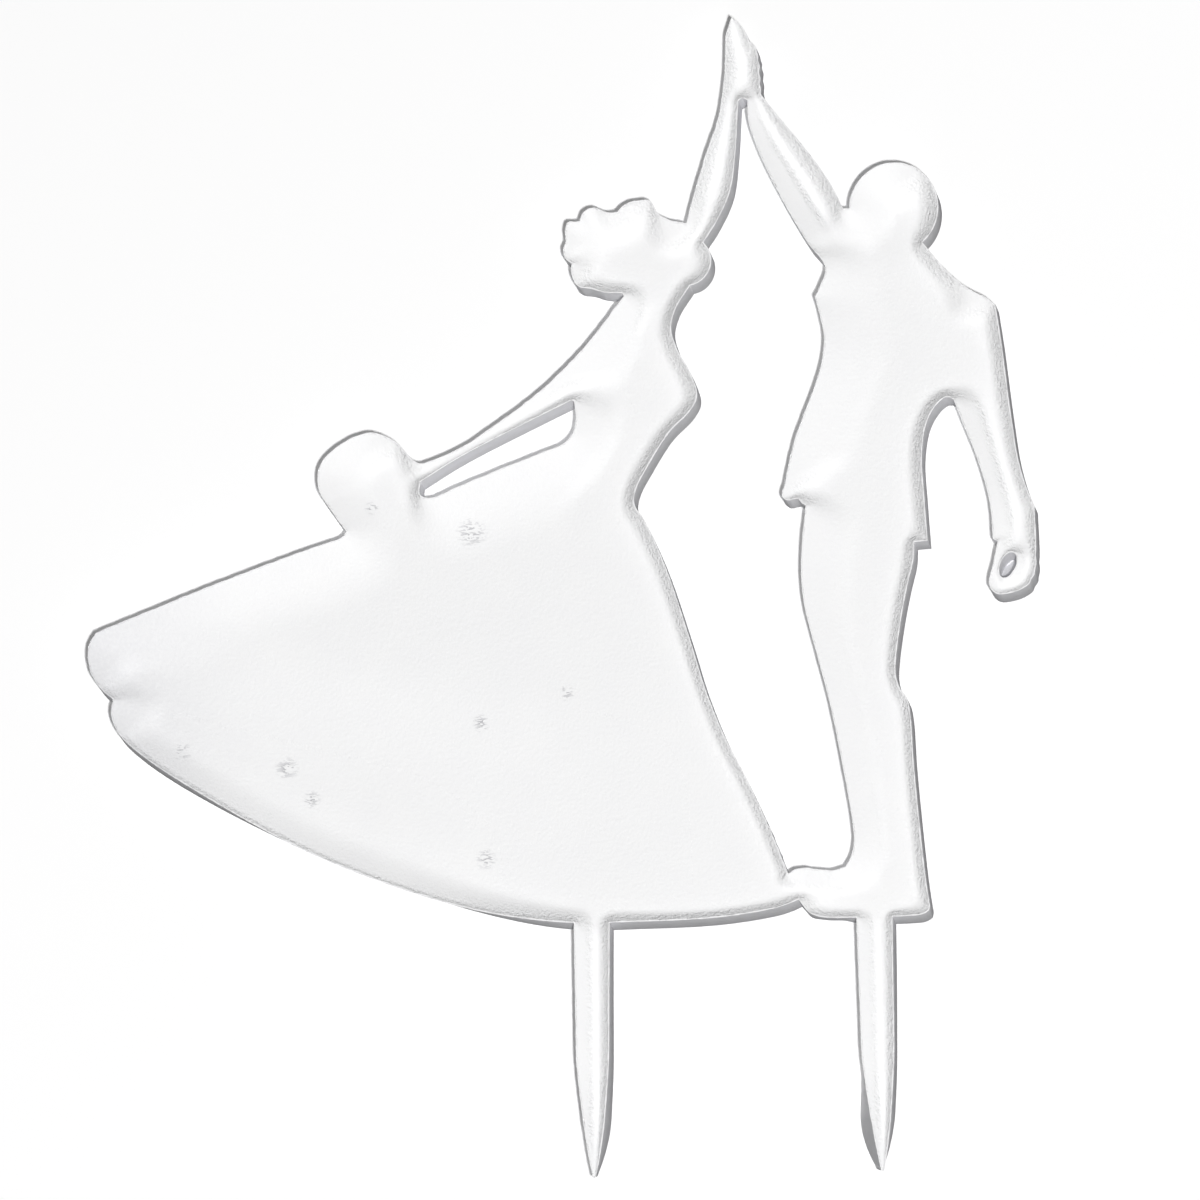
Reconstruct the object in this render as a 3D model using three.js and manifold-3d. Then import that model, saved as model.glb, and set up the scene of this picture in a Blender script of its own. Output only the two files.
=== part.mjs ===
// Wedding cake topper: a flat couple cast in white resin, a bride and a groom who raise their joined
// hands, on two pointed stakes. Millimetres, +Z up, the front faces -Y, and the origin lies on the
// cake's surface, midway between the stakes and halfway through the casting.
import * as THREE from 'three';
import { mergeVertices } from 'three/addons/utils/BufferGeometryUtils.js';
import Module from 'manifold-3d';

const wasm = await Module();
wasm.setup();

// The figures
const FIGURE_HEIGHT = 117.3; // cake surface to fingertips
const THICKNESS = 5; // front rim to flat back

// The stakes
const STAKE_LENGTH = 32.6; // cake surface to tip
const STAKE_ROOT_WIDTH = 4.6;
const STAKE_NECK_WIDTH = 4.1; // where the straight taper turns into the point
const STAKE_POINT_LENGTH = 8.2;
const STAKE_TIP_RADIUS = 0.5;
const BRIDE_STAKE_LEAN = 0.2; // sideways shift of the tip
const GROOM_STAKE_LEAN = 0.6;

// The glued joints: each tongue is half as thick as the casting and lies in a rebate in the back
const BOND_GAP = 0.3; // room for glue on every side of a joint
const STAKE_TONGUE_LENGTH = 9; // above the cake's surface, behind the figure
const STAKE_TONGUE_WIDTH = 3;
const STAKE_TONGUE_ROOT = 4; // length of the tongue inside the stake
const TOE_REACH = 8; // the shoe's toe, behind the skirt's hem
const TOE_HEIGHT = 2;
const TOE_ROOT = 4; // length of the toe's tongue inside the shoe

// How finely curves are cut into straight edges
const CURVE_STEP = 0.6; // along an outline
const STEPS_PER_ROUND = 24; // around half a circle
const SAME_POINT = 1e-4; // points closer than this are one

// The drawing of the figures: places across and up, in millimetres, for figures of the drawn height
const DRAWN_HEIGHT = 117.3;
const PALMS = [[2.3, 114.1], [1.4, 106.6]]; // line where the two hands meet
const SHOE_LINE = [[7, 5.8], [8.3, 2.4]]; // line where the shoe goes behind the hem
const BRIDE_STAKE = [-17.85, 0];
const GROOM_STAKE = [17.85, 0];

// The bride, clockwise from the palms, with a plain round cheek between face top and chin
const FACE_TOP = [-3.6, 87.9];
const CHIN = [-5.3, 82.3];
const CHEEK_BULGE = 1.8;
const RAISED_ARM_INNER = [[0.9, 106.3], [0.8, 104.6], [0.5, 99.5], [-0.2, 94.4], [-2, 90.4], FACE_TOP];
const THROAT_TO_HEM = [
  CHIN, [-7.1, 79.4], [-7.7, 76.8], [-6.9, 74], [-5.2, 70.8], [-4.4, 67.9], [-5.3, 66], [-8, 63.2],
  [-10.7, 58.9], [-12.1, 56.2], [-12.4, 54.2], [-11, 51.7], [-8.5, 46], [-5.3, 36.2], [-3.4, 29.9],
  [-0.9, 23.5], [1.8, 18.1], [4.3, 12.6], [6.1, 8.3],
];
const HEM = [
  [7.4, 2], [5.5, 1.4], [-1.5, 0.4], [-11.7, 0.1], [-21.8, 0.3], [-32, 2], [-42.1, 5.2], [-54.8, 10.7],
  [-67.5, 18.1], [-75.3, 23.5], [-78, 26.2], [-79, 28.8], [-78.7, 30.6],
];
const TRAIN_END = [[-78.7, 30.6], [-80.4, 32.2], [-81.8, 34.8], [-81.9, 37.5], [-81, 39.4]];
const TRAIN_TOP = [[-81, 39.4], [-67.6, 44.6], [-54.8, 49.2], [-49.3, 51.1], [-49.1, 51.6]];
const GATHERED_CLOTH = [
  [-49.1, 51.6], [-50.9, 54.2], [-52.6, 57.1], [-52.5, 60.2], [-50, 62.9], [-46.1, 64.4], [-42.9, 63.2],
  [-40.7, 60.8], [-39.7, 60.2], [-38.3, 60.5],
];
const ARM_TO_NAPE = [
  [-38.3, 60.5], [-34.5, 62.1], [-29.5, 65.4], [-24.4, 69.2], [-18.9, 74.6], [-13.8, 81.2],
];
const CURLS = [
  [[-14, 81.6], [-16.1, 81.7], [-18, 82.3]],
  [[-18, 82.3], [-19.5, 82.6], [-20.3, 83.6], [-20.5, 85.6]],
  [[-20.5, 85.6], [-21.4, 86.6], [-21.5, 87.6], [-21.1, 88.4]],
  [[-21.1, 88.4], [-21.2, 89.8], [-21, 91], [-20.2, 91.2], [-19.4, 91.2]],
  [[-19.4, 91.2], [-18.8, 92.5], [-17.6, 92.9], [-15.8, 92.2], [-14.6, 92.3]],
  [[-14.6, 92.3], [-13.4, 93.3], [-11.6, 93.7], [-10.4, 93.6], [-9.4, 91.9], [-7.6, 90.9], [-5.8, 90.5]],
];
const RAISED_ARM_OUTER = [
  [-5.8, 90.5], [-5, 93.6], [-3.3, 99.4], [-1.7, 104.3], [-0.9, 110], [-0.7, 115], [0, 117.3],
];
const FINGERTIPS = [[0, 117.3], [1.1, 116.3], [1.9, 115.1]];

// Gap between the lowered arm and the skirt, anticlockwise as a hole in a clockwise outline is
const ARM_GAP = [
  [[-39.6, 57.8], [-39.7, 56.2], [-38.8, 55.7], [-37.6, 55.8]],
  [[-37.6, 55.8], [-34.5, 57.2], [-24.4, 61.1], [-21.2, 62.4], [-20.2, 63.7], [-19.9, 65.4], [-20.1, 67.7]],
  [[-20.4, 67.8], [-24.4, 65.9], [-34.5, 60.9], [-39.6, 57.8]],
];

// The groom, anticlockwise from the palms, with a plain ellipse for a head between shoulder and brow
const GROOM_ARM_LOWER = [
  [2, 106.3], [2.1, 103.7], [3.5, 99.3], [6.5, 93], [9.8, 87.2], [11.5, 85], [11.9, 83.8], [11.1, 81.5],
  [10.5, 80.4],
];
const JACKET_FRONT = [
  [10.5, 80.4], [11.2, 77.8], [11.7, 74.6], [11.3, 71.5], [9.8, 66.9], [8, 62], [6.9, 57.4], [6.3, 54.4],
];
const JACKET_FRONT_HEM = [[6.3, 54.4], [7, 53.9], [8, 54.1], [8.8, 53.8], [9.3, 53.1]];
const TROUSERS_FRONT = [
  [9.3, 53.1], [8.8, 48.1], [8.7, 44.5], [9.1, 40.3], [10.7, 33.8], [12.3, 27.5], [13.7, 20.5], [15.1, 12.3],
  [15.3, 9.8], [15, 7.9], [14.2, 6.5],
];
const INSTEP = [[14.2, 6.5], [12.8, 6.1], [11.4, 6.2], [9.6, 6.5], [8.2, 6.4]];
const SOLE = [
  [8.8, 1.7], [9.6, 0.7], [11, 0.1], [13.8, -0.1], [18, -0.1], [22, -0.1], [24, 0.1], [24.8, 0.6],
];
const LEG_BACK = [
  [24.9, 1.2], [24.4, 4.6], [23.6, 12], [22.9, 19.8], [22.5, 26], [22.1, 27.9], [21.2, 29.3], [20.7, 31],
  [20.7, 32.9], [21.4, 38.3], [22.2, 42.5], [23, 46], [23.1, 48.1],
];
const JACKET_BACK = [
  [24.8, 48.2], [24.4, 53.7], [24.1, 59.7], [24.8, 63.8], [26.2, 66.1], [27.3, 66.8], [28.1, 66.4],
];
const HANGING_ARM_INNER = [[28.1, 66.4], [29.3, 63.2], [31.1, 58.5], [32.6, 53], [33, 48.2]];
const FIST = [
  [33.6, 47.9], [33, 45.1], [32.5, 42.2], [33.4, 41.1], [35, 41.1], [37.1, 41.9], [38.3, 43.6], [38.5, 47],
  [38.3, 52.3],
];
const HANGING_ARM_OUTER = [[38.3, 52.3], [37.3, 54.8], [36.3, 58.4], [35.3, 65], [34.2, 73.9], [33.5, 78.6]];
const SHOULDER = [[33.5, 78.6], [32.6, 79.4], [29.7, 81.1], [26.5, 84.2], [24.3, 87]];
const HEAD_CENTRE = [20.6, 91.6];
const HEAD_HALF_WIDTH = 5.7;
const HEAD_HALF_HEIGHT = 6;
const NAPE_ANGLE = -49; // degrees anticlockwise from +X around the head's centre
const BROW_ANGLE = 178;
const BROW_TO_ARM = [[14.2, 91.8], [13.8, 92.7]];
const GROOM_ARM_UPPER = [[13.8, 92.7], [3.8, 107]];
const GROOM_HAND = [[3.8, 107], [3.6, 109.8], [3.4, 111.8], [3, 113.3], [2.6, 113.8]];

// Gap between the groom's thumb and fingers
const FIST_HOLE = [34.9, 44.8];
const FIST_HOLE_LENGTH = 3.4;
const FIST_HOLE_WIDTH = 1.9;
const FIST_HOLE_LEAN = 24; // degrees from upright

const FRONT = -THICKNESS / 2;
const MIDDLE = 0;
const BACK = THICKNESS / 2;
const SCALE = FIGURE_HEIGHT / DRAWN_HEIGHT;

const place = ([x, z]) => new THREE.Vector2(x, z).multiplyScalar(SCALE);
const middleOf = (a, b) => a.clone().lerp(b, 1 / 2);

// A smooth curve through places of the drawing, or a straight line between two
function through(drawn) {
  const places = drawn.map(place);
  if (places.length === 2) {
    return places;
  }
  const curve = new THREE.CatmullRomCurve3(
    places.map(({ x, y }) => new THREE.Vector3(x, y, 0)),
    false,
    'centripetal',
  );
  const steps = Math.max(Math.ceil(curve.getLength() / CURVE_STEP), 2 * places.length);
  return curve.getSpacedPoints(steps).map(({ x, y }) => new THREE.Vector2(x, y));
}

// A round stretch between two places that stands out by bulge on the left of the way from a to b
function round(a, b, bulge) {
  const chord = b.clone().sub(a);
  const half = chord.length() / 2;
  const radius = (half * half + bulge * bulge) / (2 * bulge);
  const left = new THREE.Vector2(-chord.y, chord.x).normalize();
  const { x, y } = middleOf(a, b).addScaledVector(left, bulge - radius);
  const first = Math.atan2(a.y - y, a.x - x);
  const last = first - 2 * Math.asin(half / radius);
  return new THREE.EllipseCurve(x, y, radius, radius, first, last, true).getPoints(STEPS_PER_ROUND);
}

// One side of the line where bride and groom meet, half a bond gap away: -1 the bride's, 1 the groom's
function sideOf(line, side) {
  const [upper, lower] = line.map(place);
  const along = lower.clone().sub(upper).normalize();
  const across = new THREE.Vector2(-along.y, along.x).multiplyScalar(side * BOND_GAP / 2);
  return [upper.add(across), lower.add(across)];
}

// Joins stretches end to end, with a corner wherever one gives way to the next
function join(...stretches) {
  const points = stretches.flat();
  return points.filter((point, index) => point.distanceTo(points.at(index - 1)) > SAME_POINT);
}

function brideOutline() {
  return new THREE.Shape(join(
    sideOf(PALMS, -1),
    through(RAISED_ARM_INNER),
    round(place(FACE_TOP), place(CHIN), CHEEK_BULGE * SCALE),
    through(THROAT_TO_HEM),
    sideOf(SHOE_LINE, -1),
    through(HEM),
    through(TRAIN_END),
    through(TRAIN_TOP),
    through(GATHERED_CLOTH),
    through(ARM_TO_NAPE),
    ...CURLS.map(through),
    through(RAISED_ARM_OUTER),
    through(FINGERTIPS),
  ));
}

function armGap() {
  return new THREE.Path(join(...ARM_GAP.map(through)));
}

function groomHead() {
  const { x, y } = place(HEAD_CENTRE);
  const nape = THREE.MathUtils.degToRad(NAPE_ANGLE);
  const brow = THREE.MathUtils.degToRad(BROW_ANGLE);
  const head = new THREE.EllipseCurve(x, y, HEAD_HALF_WIDTH * SCALE, HEAD_HALF_HEIGHT * SCALE, nape, brow);
  return head.getPoints(2 * STEPS_PER_ROUND);
}

function groomOutline() {
  return new THREE.Shape(join(
    sideOf(PALMS, 1),
    through(GROOM_ARM_LOWER),
    through(JACKET_FRONT),
    through(JACKET_FRONT_HEM),
    through(TROUSERS_FRONT),
    through(INSTEP),
    sideOf(SHOE_LINE, 1),
    through(SOLE),
    through(LEG_BACK),
    through(JACKET_BACK),
    through(HANGING_ARM_INNER),
    through(FIST),
    through(HANGING_ARM_OUTER),
    through(SHOULDER),
    groomHead(),
    through(BROW_TO_ARM),
    through(GROOM_ARM_UPPER),
    through(GROOM_HAND),
  ));
}

function fistHole() {
  const { x, y } = place(FIST_HOLE);
  const halfWidth = SCALE * FIST_HOLE_WIDTH / 2;
  const halfLength = SCALE * FIST_HOLE_LENGTH / 2;
  const lean = THREE.MathUtils.degToRad(-FIST_HOLE_LEAN);
  const path = new THREE.Path();
  path.absellipse(x, y, halfWidth, halfLength, 0, 2 * Math.PI, false, lean);
  return path;
}

// A stake's outline, its middle at x and its top above the figure's lower edge, which cuts it off
function stakeOutline(x, lean) {
  const root = STAKE_ROOT_WIDTH / 2;
  const neck = STAKE_NECK_WIDTH / 2;
  const neckHeight = STAKE_POINT_LENGTH - STAKE_LENGTH;
  const neckX = x - lean * neckHeight / STAKE_LENGTH;
  const tipX = x + lean;
  const tipHeight = STAKE_TIP_RADIUS - STAKE_LENGTH;
  const bendHeight = (neckHeight + tipHeight) / 2;
  const shape = new THREE.Shape();
  shape.moveTo(x - root, STAKE_TONGUE_ROOT);
  shape.lineTo(x - root, 0);
  shape.lineTo(neckX - neck, neckHeight);
  shape.quadraticCurveTo(neckX - neck, bendHeight, tipX - STAKE_TIP_RADIUS, tipHeight);
  shape.absarc(tipX, tipHeight, STAKE_TIP_RADIUS, Math.PI, 2 * Math.PI, false);
  shape.quadraticCurveTo(neckX + neck, bendHeight, neckX + neck, neckHeight);
  shape.lineTo(x + root, 0);
  shape.lineTo(x + root, STAKE_TONGUE_ROOT);
  return shape;
}

// A stake's tongue, or with room around it the rebate that takes it
function tongueOutline(x, room) {
  const half = STAKE_TONGUE_WIDTH / 2 + room;
  const shape = new THREE.Shape();
  shape.moveTo(x - half, -STAKE_TONGUE_ROOT);
  shape.lineTo(x + half, -STAKE_TONGUE_ROOT);
  shape.lineTo(x + half, STAKE_TONGUE_LENGTH + room);
  shape.lineTo(x - half, STAKE_TONGUE_LENGTH + room);
  return shape;
}

// The toe behind the hem, or with room around it the rebate that takes it
function toeOutline(room) {
  const middle = middleOf(...SHOE_LINE.map(place));
  const radius = TOE_HEIGHT / 2 + room;
  const rootX = middle.x + TOE_ROOT;
  const tipX = middle.x - TOE_REACH + TOE_HEIGHT / 2;
  const shape = new THREE.Shape();
  shape.moveTo(rootX, middle.y + radius);
  shape.lineTo(tipX, middle.y + radius);
  shape.absarc(tipX, middle.y, radius, Math.PI / 2, 3 * Math.PI / 2, false);
  shape.lineTo(rootX, middle.y - radius);
  return shape;
}

// A solid of the outline's shape between two depths
function plate(shape, front, back) {
  const geometry = new THREE.ExtrudeGeometry(shape, {
    depth: back - front,
    bevelEnabled: false,
    curveSegments: STEPS_PER_ROUND,
  });
  geometry.rotateX(Math.PI / 2).translate(0, back, 0);
  geometry.deleteAttribute('normal');
  geometry.deleteAttribute('uv');
  const merged = mergeVertices(geometry);
  return new wasm.Manifold(new wasm.Mesh({
    numProp: 3,
    vertProperties: merged.attributes.position.array,
    triVerts: new Uint32Array(merged.index.array),
  }));
}

const tongue = (shape) => plate(shape, MIDDLE, BACK);
const rebate = (shape) => plate(shape, MIDDLE - BOND_GAP, BACK + THICKNESS);

const brideStakeX = place(BRIDE_STAKE).x;
const groomStakeX = place(GROOM_STAKE).x;

const brideShape = brideOutline();
brideShape.holes.push(armGap());
const bridePlate = plate(brideShape, FRONT, BACK);
const bride = bridePlate
  .subtract(rebate(tongueOutline(brideStakeX, BOND_GAP)))
  .subtract(rebate(toeOutline(BOND_GAP)));

const groomShape = groomOutline();
groomShape.holes.push(fistHole());
const groomPlate = plate(groomShape, FRONT, BACK);
const groom = groomPlate
  .subtract(rebate(tongueOutline(groomStakeX, BOND_GAP)))
  .add(tongue(toeOutline(0)));

// A stake ends a bond gap below its figure's lower edge, and only its tongue goes on up behind it
function stake(x, lean, figure) {
  return plate(stakeOutline(x, lean), FRONT, BACK)
    .subtract(figure.translate([0, 0, -BOND_GAP]))
    .add(tongue(tongueOutline(x, 0)));
}

// Cast resin: glossy white with a cool tint
function casting(name, solid) {
  const { numProp, vertProperties, triVerts } = solid.getMesh();
  const geometry = new THREE.BufferGeometry();
  geometry.setAttribute('position', new THREE.BufferAttribute(vertProperties, numProp));
  geometry.setIndex(new THREE.BufferAttribute(triVerts, 1));
  geometry.computeVertexNormals();
  const resin = new THREE.MeshStandardMaterial({ color: 0xf1f1f4, roughness: 0.28, metalness: 0 });
  const mesh = new THREE.Mesh(geometry, resin);
  mesh.name = name;
  return mesh;
}

const topper = new THREE.Group();
topper.add(
  casting('bride_figure', bride),
  casting('groom_figure', groom),
  casting('bride_stake', stake(brideStakeX, BRIDE_STAKE_LEAN, bridePlate)),
  casting('groom_stake', stake(groomStakeX, GROOM_STAKE_LEAN, groomPlate)),
);

export default topper;
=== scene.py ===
import math

import bmesh
import bpy
import numpy as np
from mathutils import Matrix, Vector, kdtree, noise
from mathutils.geometry import delaunay_2d_cdt


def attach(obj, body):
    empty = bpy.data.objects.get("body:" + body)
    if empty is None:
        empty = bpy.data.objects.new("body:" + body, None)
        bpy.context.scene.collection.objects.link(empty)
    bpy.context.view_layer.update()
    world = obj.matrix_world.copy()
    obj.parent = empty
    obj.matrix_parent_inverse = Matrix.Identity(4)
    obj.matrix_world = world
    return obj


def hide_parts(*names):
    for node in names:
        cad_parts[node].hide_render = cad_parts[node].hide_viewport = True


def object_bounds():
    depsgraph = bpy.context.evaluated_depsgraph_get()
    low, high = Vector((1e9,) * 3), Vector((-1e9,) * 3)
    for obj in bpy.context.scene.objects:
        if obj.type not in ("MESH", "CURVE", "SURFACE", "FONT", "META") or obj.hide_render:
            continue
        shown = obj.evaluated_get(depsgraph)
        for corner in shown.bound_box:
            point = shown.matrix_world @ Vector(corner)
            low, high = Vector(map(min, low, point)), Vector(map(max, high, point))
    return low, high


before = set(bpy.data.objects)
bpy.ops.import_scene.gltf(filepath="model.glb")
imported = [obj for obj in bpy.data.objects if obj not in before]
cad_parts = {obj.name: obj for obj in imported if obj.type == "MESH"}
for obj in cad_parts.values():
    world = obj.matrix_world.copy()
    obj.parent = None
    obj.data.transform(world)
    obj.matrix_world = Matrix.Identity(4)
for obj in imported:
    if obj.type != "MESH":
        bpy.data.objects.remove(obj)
cad_low, cad_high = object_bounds()

# The four castings: a bride, a groom and a stake below each, flat pieces of white resin that were
# cast and then glued together. Each starts as a copy of its solid's walls, which are cut finer along
# the outline, and drawn up to the neighbour where glue fills the joint.
MM = 0.001  # the castings are modelled in millimetres, and scaled to metres at the end
FRONT = cad_low.y / MM
BACK = cad_high.y / MM
LEVEL_SLACK = 0.01  # a corner this close to the front or to the back lies in it
ROUNDING = 0.001  # room for rounding errors
FLAT_TURN = math.radians(0.1)  # faces that turn less than this are one
WALL, BOTTOM, OPEN_FACE = range(3)  # the finishes, in the order of the material slots
CASTINGS = {
    "bride": "bride_figure",
    "groom": "groom_figure",
    "stake_below_skirt": "bride_stake",
    "stake_below_shoe": "groom_stake",
}


def flat(vertex):
    return Vector((vertex.co.x, vertex.co.z))


def set_flat(vertex, place):
    vertex.co.x, vertex.co.z = place


def in_plane(vertex, side):
    return abs(vertex.co.y - side) < LEVEL_SLACK


def opened_copy(name, node):
    """A merged copy of a solid's walls, in millimetres, without its front and back."""
    solid = node.data
    mesh = bpy.data.meshes.new(name)
    mesh.from_pydata([v.co / MM for v in solid.vertices], [], [list(p.vertices) for p in solid.polygons])
    piece = bpy.data.objects.new(name, mesh)
    bpy.context.scene.collection.objects.link(piece)
    bpy.ops.object.select_all(action="DESELECT")
    bpy.context.view_layer.objects.active = piece
    piece.select_set(True)
    bpy.ops.object.mode_set(mode="EDIT")
    bpy.ops.mesh.select_mode(type="FACE")
    bpy.ops.mesh.select_all(action="SELECT")
    bpy.ops.mesh.remove_doubles(threshold=ROUNDING)
    bpy.ops.mesh.dissolve_limited(angle_limit=FLAT_TURN)
    bpy.ops.mesh.select_all(action="DESELECT")
    edited = bmesh.from_edit_mesh(mesh)
    for face in edited.faces:
        face.select_set(any(all(in_plane(v, side) for v in face.verts) for side in (FRONT, BACK)))
    bmesh.update_edit_mesh(mesh)
    bpy.ops.mesh.delete(type="FACE")
    bpy.ops.object.mode_set(mode="OBJECT")
    return piece


BOND_GAP = 0.3  # room for glue between two solids
PALM_LINE = ((2.3, 114.1), (1.4, 106.6))  # where the two hands meet
SHOE_LINE = ((7.0, 5.8), (8.3, 2.4))  # where the shoe meets the hem
NEAR_LINE = 0.02  # how exactly a wall has to lie beside a joint's line to be drawn to it
ON_LINE = 0.01  # and then to count as lying on it


def draw_to_line(body, line):
    """Moves a wall that lies half a bond gap from a joint's line onto that line."""
    upper, lower = (Vector(end) for end in line)
    along = (lower - upper).normalized()
    across = Vector((-along.y, along.x))
    for vertex in body.verts:
        offset = flat(vertex) - upper
        beside = offset.dot(across)
        on_stretch = -NEAR_LINE < offset.dot(along) < (lower - upper).length + NEAR_LINE
        if on_stretch and abs(abs(beside) - BOND_GAP / 2) < NEAR_LINE:
            set_flat(vertex, flat(vertex) - across * beside)


def on_line(place, line):
    upper, lower = (Vector(end) for end in line)
    along = (lower - upper).normalized()
    offset = place - upper
    beside = abs(offset.x * along.y - offset.y * along.x)
    return beside < ON_LINE and -ON_LINE < offset.dot(along) < (lower - upper).length + ON_LINE


def open_edges(body, side):
    """The edges around the open front or back."""
    return [e for e in body.edges if e.is_boundary and all(in_plane(v, side) for v in e.verts)]


def open_rings(body, side):
    """The same edges as rings of corners, in the order that the walls turn."""
    seen = set()
    rings = []
    for edge in open_edges(body, side):
        ring = []
        while edge not in seen:
            seen.add(edge)
            corner = edge.link_loops[0]
            ring.append(corner.vert)
            ahead = corner.link_loop_next.vert
            edge = next(e for e in ahead.link_edges if e.is_boundary and e is not edge)
        if ring:
            rings.append(ring)
    return rings


def split_between(body, first, last, places):
    """Cuts the edge between two corners at places in the plane, and returns the corners in order."""
    corners = [first]
    for place in places:
        edge = body.edges.get((corners[-1], last))
        _, new = bmesh.utils.edge_split(edge, corners[-1], 0.5)
        set_flat(new, place)
        corners.append(new)
    return [*corners, last]


WALL_STEP = 0.24  # longest edge along an outline
SMOOTH_TURN = math.radians(30)  # a sharper turn of the outline is a corner


def cut_walls_finer(body, straight_lines):
    """Cuts each wall into strips along the outline, on the smooth curve through its corners."""
    for ring in open_rings(body, FRONT):
        places = [flat(v) for v in ring]
        count = len(places)
        ways = [places[(i + 1) % count] - places[i] for i in range(count)]
        bends = []
        for i in range(count):
            before, after = ways[i - 1], ways[i]
            turn = before.angle(after)
            mean = before.normalized() * after.length + after.normalized() * before.length
            bends.append(mean.normalized() if turn < SMOOTH_TURN else None)
        for i in range(count):
            start, end, way = places[i], places[(i + 1) % count], ways[i]
            strips = math.ceil(way.length / WALL_STEP)
            first, last = ring[i], ring[(i + 1) % count]
            corner = body.edges.get((first, last)).link_loops[0]
            wall = corner.face
            under_last = corner.link_loop_next.link_loop_next.vert
            under_first = corner.link_loop_prev.vert
            regular = len(wall.verts) == 4 and in_plane(under_last, BACK) and in_plane(under_first, BACK)
            glued = any(on_line(start, line) and on_line(end, line) for line in straight_lines)
            leave = (bends[i] or way.normalized()) * way.length
            arrive = (bends[(i + 1) % count] or way.normalized()) * way.length
            cuts = []
            for cut in range(1, strips):
                t = cut / strips
                if regular and not glued:
                    cuts.append(
                        start * (2 * t**3 - 3 * t**2 + 1) + leave * (t**3 - 2 * t**2 + t)
                        + end * (3 * t**2 - 2 * t**3) + arrive * (t**3 - t**2)
                    )
                else:
                    cuts.append(start.lerp(end, t))
            if not cuts:
                continue
            if regular:
                body.faces.remove(wall)
            upper = split_between(body, first, last, cuts)
            if regular:
                lower = split_between(body, under_first, under_last, cuts)
                for k in range(strips):
                    body.faces.new((upper[k], upper[k + 1], lower[k + 1], lower[k]))


def cut_long_edges(body, side):
    """Cuts the edges around one side that are still long, those of the rebates, on the straight."""
    for edge in open_edges(body, side):
        first, last = edge.verts
        start, end = flat(first), flat(last)
        strips = math.ceil((end - start).length / WALL_STEP)
        split_between(body, first, last, [start.lerp(end, cut / strips) for cut in range(1, strips)])


def nearest_on_rim(body, place):
    """How far the closest front edge is from a place, that edge, and how far along it from its start."""
    best = None
    for edge in open_edges(body, FRONT):
        start, end = (flat(v) for v in edge.verts)
        way = end - start
        share = min(max((place - start).dot(way) / way.length_squared, 0), 1)
        gap = (start + way * share - place).length
        if best is None or gap < best[0]:
            best = gap, edge, share
    return best


TOP_GAP = 0.01  # a stake's corner that lies this close to the hem, once lifted, is of its top
SNAP_END = 0.08  # a corner of the hem this close to an end of the stake's top is shared with it
SNAP_CORNER = 0.1  # and one this close to another corner of the top with that
HEM_BAND = 4.0  # the hem above a stake is this close to the cake's surface


def draw_up_stake(stake, figure):
    """Lifts a stake's top onto its figure's lower edge, and gives both the same corners there."""
    tops = []
    for vertex in stake.verts:
        lifted = flat(vertex) + Vector((0, BOND_GAP))
        if nearest_on_rim(figure, lifted)[0] < TOP_GAP:
            set_flat(vertex, lifted)
            tops.append(vertex)
    tops = sorted((v for v in tops if in_plane(v, FRONT)), key=lambda v: v.co.x)
    for outer in (tops[0], tops[-1]):
        _, edge, share = nearest_on_rim(figure, flat(outer))
        near = edge.verts[0] if share < 0.5 else edge.verts[1]
        if (flat(near) - flat(outer)).length > SNAP_END:
            _, near = bmesh.utils.edge_split(edge, edge.verts[0], share)
        outer_place = flat(near)
        for vertex in stake.verts:
            if (flat(vertex) - flat(outer)).length < ROUNDING and vertex is not outer:
                set_flat(vertex, outer_place)
        set_flat(outer, outer_place)
    low, high = tops[0].co.x, tops[-1].co.x
    rims = [v for ring in open_rings(figure, FRONT) for v in ring]
    hem = [v for v in rims if low < v.co.x < high and abs(v.co.z) < HEM_BAND]
    for corner in sorted(hem, key=lambda v: v.co.x):
        match = [v for v in tops if (flat(v) - flat(corner)).length < SNAP_CORNER]
        if match:
            set_flat(match[0], flat(corner))
            continue
        _, edge, share = nearest_on_rim(stake, flat(corner))
        _, new = bmesh.utils.edge_split(edge, edge.verts[0], share)
        set_flat(new, flat(corner))


RAGGED_STEP = 0.8  # between one lump and the next
RAGGED = (  # where the mould's edge was torn: place, reach and depth
    ((4.0, 110.4), 5.0, 0.16),
    ((-20.5, 87.0), 6.0, 0.12),
    ((7.8, 54.0), 2.6, 0.3),
    ((38.5, 44.0), 4.5, 0.12),
    ((5.5, 10.0), 4.0, 0.16),
    ((10.5, 7.0), 3.5, 0.16),
    ((-81.5, 37.0), 4.0, 0.1),
)
noise.seed_set(1)  # without a seed the lumps would differ at each run


def tear(body):
    """Pushes the outline to and fro where the mould's edge was torn, within the solids' reach."""
    left, right = cad_low.x / MM, cad_high.x / MM
    for vertex in body.verts:
        place = flat(vertex)
        for spot, reach, depth in RAGGED:
            near = 1 - (place - Vector(spot)).length / reach
            if near > 0:
                lump = noise.noise_vector(place.to_3d() / RAGGED_STEP)
                place += lump.to_2d() * depth * min(2 * near, 1)
        set_flat(vertex, (min(max(place.x, left), right), place.y))


def eased(values, start, end):
    """A smooth rise from 0 at the start to 1 at the end."""
    share = np.clip((values - start) / (end - start), 0, 1)
    return share * share * (3 - 2 * share)


POINT_TOP = -16.0  # where a stake's front starts to narrow, and where its point is full
POINT_FULL = -30.0
FLANK_TOP = -5.0  # the same for its back
FLANK_FULL = -19.0
BACK_SHORTER = 1.0  # at the tip, where the cut runs slanting through the casting
POINTS = {  # the shares of the width that are left on the left and on the right, and the tip's shift
    "stake_below_skirt": {"front": (0.56, 0.6, 0.15), "back": (0.6, 1.03, -0.35)},
    "stake_below_shoe": {"front": (0.56, 0.56, 0.35), "back": (1.18, 0.95, -0.4)},
}


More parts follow.
